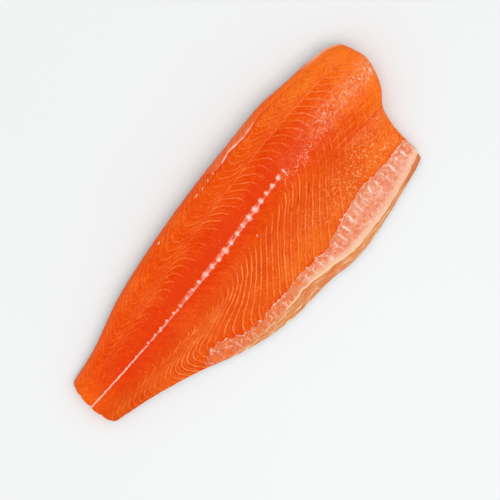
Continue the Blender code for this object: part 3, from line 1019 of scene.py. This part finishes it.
def belly_strip(sheet, base, colours):
    """The pale strip along the belly: cloudy, veined, streaked with white, and redder to the tail."""
    strip = sheet.attribute("strip")
    pale = sheet.noise(sheet.place, 240, 3, 0.55)
    towards_head = sheet.add(sheet.past(-40, 90), sheet.times(sheet.add(pale, -0.5), 1.1))
    paler_to_head = sheet.add(0.25, sheet.times(sheet.past(-30, 80), 0.75))
    veins = sheet.drawn(380, "strip", 0.3, roughness=0.6)
    lowest = sheet.times(sheet.step(sheet.attribute("ridge"), -5.5, -1.0), sheet.past(-10, 30), 0.55)
    off_streak = sheet.add(sheet.attribute("streak"), sheet.times(sheet.add(sheet.coarse, -0.5), 1.2))
    reach = sheet.times(sheet.step(strip, 1.2, 3.0), sheet.step(strip, 12.0, 5.0))
    streak = sheet.times(sheet.step(off_streak, 1.0, 0.15), sheet.step(pale, 0.3, 0.5), reach)
    thin_layer = sheet.times(sheet.near(strip, 1.7, 1.6, 0.5), sheet.past(36, 50), sheet.past(100, 80), 0.4)
    colour = sheet.coats(
        sheet.mix(sheet.step(towards_head, 0.0, 1.0), colours.blush, colours.strip),
        (sheet.times(sheet.step(strip, 5.0, 0.5), sheet.spots(150, 0.44, 0.6), 0.6), colours.blush),
        (sheet.times(sheet.spots(420, 0.46, 0.66, 3, 0.65), 0.7, paler_to_head), colours.streak),
        (sheet.times(sheet.spots(300, 0.48, 0.36, 3, 0.6, 0.5), 0.6), colours.blush),
        (sheet.times(sheet.step(veins, 0.5, 0.36), sheet.step(strip, 9.0, 4.0), 0.75), colours.blush),
        (lowest, colours.streak),
        (sheet.times(lowest, 0.6), colours.cream),
        (sheet.times(sheet.past(45, 0), sheet.past(-60, -30), 0.3), colours.tan),
        (sheet.times(sheet.spots(190, 0.55, 0.66, 3, 0.6, 0.6), sheet.past(40, 0), 0.65), colours.light),
        (sheet.times(sheet.spots(330, 0.57, 0.66, 2, 0.6, 1.2), sheet.past(50, 20), 0.6), colours.streak),
        (sheet.times(streak, 0.95, paler_to_head), colours.white),
        (sheet.times(sheet.step(veins, 0.56, 0.72), reach, 0.5), colours.streak),
        (thin_layer, colours.tan),
    )
    white_lip = sheet.times(sheet.near(strip, 0.4, 0.55, 0.1), sheet.spots(280, 0.4, 0.6, 2, 0.6), 0.75)
    # Painted shadow along the upper edge of the strip, in the deep red of the flesh, where the muscle stands
    # over the strip.
    strip_edge_shadow = sheet.times(sheet.near(strip, -0.4, 0.6, 0.1), 0.6)
    return sheet.coats(
        base,
        (sheet.step(strip, -0.1, 0.35), colour),
        (white_lip, colours.white),
        (strip_edge_shadow, colours.deep),
    )


def trimmed_face(sheet, base, colours):
    """The layered, trimmed face below the ridge of the belly, and the fat along the ridge."""
    ridge = sheet.attribute("ridge")
    on_strip = sheet.step(sheet.attribute("strip"), 0.0, 1.0)
    layers = sheet.drawn(90, "ridge", 1.2, roughness=0.6)
    curls = sheet.drawn(160, "ridge", 0.5, roughness=0.6, distortion=1.2)
    plain = sheet.mix(sheet.times(sheet.step(layers, 0.4, 0.66), 0.55), colours.tan, colours.cream)
    at_head = sheet.past(85, 105)
    face = sheet.coats(
        sheet.mix(sheet.step(layers, 0.48, 0.7), colours.tan, colours.cream),
        (sheet.times(sheet.step(layers, 0.42, 0.3), 0.7), colours.brown),
        (sheet.times(sheet.step(sheet.broad, 0.45, 0.65), 0.5), colours.blush),
        (sheet.times(sheet.step(curls, 0.56, 0.68), sheet.past(50, 30), 0.7), colours.streak),
        (sheet.times(sheet.past(30, 55), 0.8), plain),
        (sheet.times(at_head, 0.5), colours.blush),
        (sheet.times(at_head, 0.22), colours.brown),
        (sheet.times(sheet.near(ridge, 0.5, 0.8, 0.2), sheet.past(50, 70), 0.45), colours.brown),
    )
    crest = sheet.times(sheet.near(ridge, 0, 0.75, 0.3), on_strip, sheet.past(-20, 0), sheet.past(68, 45))
    return sheet.coats(
        base,
        (sheet.times(sheet.step(ridge, 0.1, 0.9), on_strip), face),
        (sheet.times(crest, 0.9), colours.cream),
    )


def cut_ends(sheet, base, colours):
    """The rings of muscle in the two cuts, and the browner flesh next to the skin."""
    rings = sheet.noise(sheet.vector(sheet.times(sheet.segment, 3.0), sheet.attribute("above")), 1.0)
    cut_colour = sheet.mix(sheet.step(rings, 0.4, 0.6), colours.light, colours.line)
    near_skin = sheet.times(sheet.step(sheet.attribute("wall"), 0.5, 0.95),
                            sheet.add(0.45, sheet.times(sheet.coarse, 0.6)))
    return sheet.coats(
        base,
        (sheet.times(sheet.step(sheet.attribute("cut"), 0.0, 0.2), 0.6), cut_colour),
        (near_skin, colours.brown),
    )


def flesh_material(colours):
    sheet = FleshSheet("flesh looks")
    base = muscle(sheet, colours)
    base, line_height = segment_lines(sheet, base, colours)
    base = seams_and_fibres(sheet, base, colours)
    base, wet_height = wet_glints_and_threads(sheet, base, colours)
    for part in (backbone, back_edge, belly_strip, trimmed_face, cut_ends):
        base = part(sheet, base, colours)
    sheet.put(sheet.shader.inputs["Base Color"], base)

    wet(sheet, sheet.add(0.34, sheet.times(sheet.grain, 0.2)), 0.08, 0.06, 0.0008)
    height = sheet.add(sheet.times(sheet.grain, 0.5), sheet.coarse, sheet.times(line_height, 0.5), wet_height)
    sheet.put(sheet.shader.inputs["Normal"], sheet.bump(height, 0.00025, 0.5))
    return sheet.material


# ---------------------------------------------------------------- bone ends and loose tissue

SUNK = 0.45  # share of a lump's height that lies inside the flesh
LUMP_SEGMENTS, LUMP_RINGS = 20, 12
LUMP_ROUGHNESS = 0.34
BONE_HEIGHT, BONE_LENGTH_SHARE, BONE_WIDTH_SHARE = 0.9, 0.62, 0.66  # of the pale halo round each bone
SCRAP_HEIGHT = 0.7


def height_at(flesh, x, y):
    """Height of the top of the flesh at a place, in millimetres."""
    points = points_of(flesh.data)
    top = points[numbers(flesh.data.attributes["depth"], len(points)) == 0]
    return top[np.argmin((top[:, 0] - x) ** 2 + (top[:, 1] - y) ** 2), 2]


def lumps(name, flesh, places, height, seed):
    """Small uneven lumps on the flesh, joined into one piece."""
    made = []
    for x, y, length, width, turn in places:
        deselect()
        bpy.ops.mesh.primitive_uv_sphere_add(segments=LUMP_SEGMENTS, ring_count=LUMP_RINGS, radius=0.5)
        lump = bpy.context.object
        bpy.ops.transform.resize(value=(length * MM, width * MM, height * MM))
        bpy.ops.object.transform_apply(location=False, rotation=False, scale=True)
        points = points_of(lump.data)
        rough = 1 + LUMP_ROUGHNESS * layered(points[:, 0] / 0.7 + x, points[:, 1] / 0.7 + y, seed, 2)
        points[:, :2] *= rough[:, None]
        c, s = np.cos(np.radians(turn)), np.sin(np.radians(turn))
        turned = np.column_stack([points[:, 0] * c - points[:, 1] * s, points[:, 0] * s + points[:, 1] * c])
        z = height_at(flesh, x, y) + points[:, 2] * rough + height * (0.5 - SUNK)
        set_points(lump.data, np.column_stack([turned + (x, y), z]))
        made.append(lump)
    deselect()
    for lump in made:
        lump.select_set(True)
    bpy.context.view_layer.objects.active = made[0]
    bpy.ops.object.join()
    made[0].name = made[0].data.name = name
    return made[0]


def fat_material(name, one, other):
    sheet = Sheet(name)
    cloud = sheet.noise(sheet.place, 900, 3, 0.6)
    sheet.put(sheet.shader.inputs["Base Color"], sheet.mix(sheet.step(cloud, 0.35, 0.6), one, other))
    wet(sheet, sheet.add(0.3, sheet.times(cloud, 0.3)), 0.15, 0.15, 0.0008)
    sheet.put(sheet.shader.inputs["Normal"], sheet.bump(cloud, 0.0002, 0.5))
    return sheet.material


# ---------------------------------------------------------------- skin

SCALE_LENGTH, SCALE_WIDTH, SCALE_HEIGHT = 3.0, 2.6, 0.09
SKIN_ROWS, SKIN_DENSITY, SKIN_WALL_RINGS = (300, 130), 0.2, 3
SCALES_START = 2  # distance from the edge where the scales have their full height


def scale_relief(x, y):
    """Overlapping scales, each row shifted by half a scale."""
    row = y / SCALE_WIDTH
    shift = 0.5 * (np.floor(row) % 2)
    column = x / SCALE_LENGTH + shift
    in_row, in_column = row - np.floor(row), column - np.floor(column)
    round_edge = np.hypot(in_column, (in_row - 0.5) * 1.2)
    return SCALE_HEIGHT * np.clip(1.15 - round_edge, 0, 1)


def build_skin():
    piece = patch("skin_detail", *SKIN_ROWS)
    grow_wall(piece, SKIN_WALL_RINGS, len(UNDER_INSETS))
    mesh = piece.data
    u, v, depth = places_of(mesh)
    v = spread(v, SKIN_DENSITY)
    wall = np.clip(depth, 0, 1)
    top_u, top_v = shrunk(u, v, inset_at(depth))
    spot = plan(top_u, top_v)
    x, y = spot.T
    from_edge = np.minimum(np.minimum(u, 1 - u) * LENGTH, np.minimum(v, 1 - v) * USUAL_WIDTH)
    edge = ease(from_edge / SCALES_START)
    low = underside(u, v) + scale_relief(x, y) * edge
    high = skin_top(top_u, top_v)
    z = np.where(depth > 1, high, low + (high - low) * wall)
    set_points(mesh, np.column_stack([spot, z]))
    store(mesh, "height", v)
    finish_piece(piece, skin_material(), "skin")
    return piece


def skin_material():
    sheet = Sheet("skin looks")
    height = sheet.attribute("height")
    x, y, _ = sheet.split(sheet.place)
    row = sheet.times(y, 1 / (SCALE_WIDTH * MM))
    shift = sheet.times(sheet.math("MODULO", sheet.math("FLOOR", row), 2.0), 0.5)
    column = sheet.add(sheet.times(x, 1 / (SCALE_LENGTH * MM)), shift)
    in_row = sheet.add(sheet.math("FRACT", row), -0.5)
    in_column = sheet.math("FRACT", column)
    far = sheet.math("SQRT", sheet.add(sheet.times(in_row, in_row, 1.4), sheet.times(in_column, in_column)))
    rim = sheet.step(sheet.math("ABSOLUTE", sheet.add(far, -0.9)), 0.22, 0.04)
    mottle = sheet.noise(sheet.place, 300, 3, 0.6)
    silver = sheet.mix(sheet.step(mottle, 0.35, 0.65), srgb(176, 180, 180), srgb(212, 212, 206))
    dark = sheet.mix(sheet.step(mottle, 0.35, 0.65), srgb(52, 64, 70), srgb(92, 106, 110))
    mixed = sheet.mix(sheet.step(sheet.add(height, sheet.times(mottle, 0.15)), 0.55, 0.95), silver, dark)
    spots = sheet.step(sheet.noise(sheet.place, 85, 1, 0.5), 0.68, 0.72)
    mixed = sheet.mix(sheet.times(spots, sheet.step(height, 0.6, 0.8), 0.7), mixed, srgb(38, 42, 44))
    mixed = sheet.mix(sheet.times(rim, 0.45), mixed, srgb(96, 102, 104))
    sheet.put(sheet.shader.inputs["Base Color"], mixed)
    wet(sheet, sheet.add(0.22, sheet.times(mottle, 0.2)), 0.25, 0.0, 0.001)
    sheet.put(sheet.shader.inputs["Normal"], sheet.bump(sheet.add(far, mottle), 0.0002, 0.5))
    return sheet.material


# ---------------------------------------------------------------- operators

class FILLET_OT_flesh(bpy.types.Operator):
    """Make the flesh with its muscle segments, belly strip and cut ends"""

    bl_idname = "fillet.flesh"
    bl_label = "Flesh"

    def execute(self, context):
        build_flesh(context.scene.fillet_shape, context.scene.fillet_colours)
        return {"FINISHED"}


class FILLET_OT_bone_ends(bpy.types.Operator):
    """Make the pale bone ends along the backbone"""

    bl_idname = "fillet.bone_ends"
    bl_label = "Bone ends"

    def execute(self, context):
        flesh = bpy.data.objects["flesh_detail"]
        colours = context.scene.fillet_colours
        places = [(x, y, length * BONE_LENGTH_SHARE, width * BONE_WIDTH_SHARE, 0)
                  for x, y, length, width in BONE_ENDS]
        piece = lumps("bone_ends", flesh, places, BONE_HEIGHT, 91)
        finish_piece(piece, fat_material("bone looks", colours.fat, colours.white))
        return {"FINISHED"}


class FILLET_OT_scraps(bpy.types.Operator):
    """Make the loose bits of pale tissue on the flesh"""

    bl_idname = "fillet.scraps"
    bl_label = "Loose tissue"

    def execute(self, context):
        flesh = bpy.data.objects["flesh_detail"]
        colours = context.scene.fillet_colours
        piece = lumps("loose_tissue", flesh, SCRAPS, SCRAP_HEIGHT, 95)
        finish_piece(piece, fat_material("tissue looks", colours.line, colours.streak))
        return {"FINISHED"}


class FILLET_OT_skin(bpy.types.Operator):
    """Make the scaled skin under the flesh"""

    bl_idname = "fillet.skin"
    bl_label = "Skin"

    def execute(self, context):
        build_skin()
        return {"FINISHED"}


FLOOR_SIZE = 6
FLOOR_DROP = 0.0001  # the floor lies just under the fillet
ROOM_LIGHT = 0.78
CAMERA_HEIGHT = 1.2
CAMERA_AT = (0.0015, -0.0012)
CAMERA_TURN = -48.35
FIELD_WIDTH = 0.3225
FIELD_HEIGHT_AT = 0.009
SENSOR = 36

# Lights: name, place (right and up in the picture, height), size, power
LIGHTS = (
    ("key light", (0.4, -0.46, 2.0), 1.3, 7.7),
    ("fill light", (-0.8, 0.8, 1.5), 1.2, 2.2),
    ("glint light low", (0.45, -0.55, 1.1), 0.07, 0.5),
    ("glint light right", (0.8, -0.1, 0.9), 0.07, 0.5),
    ("glint light near", (-0.15, -0.75, 1.1), 0.07, 0.5),
)


def add_light(name, size, power, place):
    """A square light that points at the middle of the fillet's underside."""
    deselect()
    bpy.ops.object.light_add(type="AREA", location=place)
    lamp = bpy.context.object
    lamp.name = name
    lamp.data.size = size
    lamp.data.energy = power
    lamp.rotation_euler = (-place).to_track_quat("-Z", "Y").to_euler()


class FILLET_OT_stage(bpy.types.Operator):
    """Set the floor, the lights and the camera over the fillet"""

    bl_idname = "fillet.stage"
    bl_label = "Stage"

    def execute(self, context):
        scene = context.scene
        scene.view_settings.view_transform = "Standard"
        deselect()
        bpy.ops.mesh.primitive_plane_add(size=FLOOR_SIZE, location=(0, 0, -FLOOR_DROP))
        floor = bpy.context.object
        floor.name = "floor"
        sheet = Sheet("floor paint")
        cloud = sheet.noise(sheet.place, 3.0, 2, 0.5)
        tint = sheet.mix(cloud, srgb(236, 238, 238), srgb(240, 241, 242))
        sheet.put(sheet.shader.inputs["Base Color"], tint)
        sheet.shader.inputs["Roughness"].default_value = 0.5
        floor.data.materials.append(sheet.material)

        world = bpy.data.worlds.new("pale room")
        world.use_nodes = True
        background = world.node_tree.nodes["Background"]
        background.inputs["Color"].default_value = (1, 1, 1, 1)
        background.inputs["Strength"].default_value = ROOM_LIGHT
        scene.world = world

        turn = np.radians(CAMERA_TURN)
        right = Vector((np.cos(turn), np.sin(turn), 0))
        up = Vector((-np.sin(turn), np.cos(turn), 0))
        for name, place, size, power in LIGHTS:
            add_light(name, size, power, right * place[0] + up * place[1] + Vector((0, 0, place[2])))

        bpy.ops.object.camera_add(location=(*CAMERA_AT, CAMERA_HEIGHT), rotation=(0, 0, turn))
        camera = bpy.context.object
        camera.name = "camera"
        camera.data.sensor_width = SENSOR
        camera.data.lens = SENSOR * (CAMERA_HEIGHT - FIELD_HEIGHT_AT) / FIELD_WIDTH
        scene.camera = camera
        return {"FINISHED"}


class FILLET_PT_panel(bpy.types.Panel):
    """Lists the pieces of the fillet"""

    bl_idname = "FILLET_PT_panel"
    bl_label = "Fillet"
    bl_space_type = "VIEW_3D"
    bl_region_type = "UI"
    bl_category = "Fillet"

    def draw(self, context):
        layout = self.layout
        for group in (context.scene.fillet_shape, context.scene.fillet_colours):
            for name in group.bl_rna.properties.keys():
                if name not in ("rna_type", "name"):
                    layout.prop(group, name)
        for operator in OPERATORS:
            layout.operator(operator.bl_idname)


OPERATORS = (FILLET_OT_flesh, FILLET_OT_bone_ends, FILLET_OT_scraps, FILLET_OT_skin, FILLET_OT_stage)
CLASSES = (FILLET_PG_shape, FILLET_PG_colours, *OPERATORS, FILLET_PT_panel)


def register():
    for kind in CLASSES:
        bpy.utils.register_class(kind)
    bpy.types.Scene.fillet_shape = PointerProperty(type=FILLET_PG_shape)
    bpy.types.Scene.fillet_colours = PointerProperty(type=FILLET_PG_colours)


def unregister():
    del bpy.types.Scene.fillet_colours
    del bpy.types.Scene.fillet_shape
    for kind in reversed(CLASSES):
        bpy.utils.unregister_class(kind)


def main():
    register()
    bpy.ops.fillet.flesh()
    bpy.ops.fillet.bone_ends()
    bpy.ops.fillet.scraps()
    bpy.ops.fillet.skin()
    bpy.ops.fillet.stage()


if __name__ == "__main__":
    main()
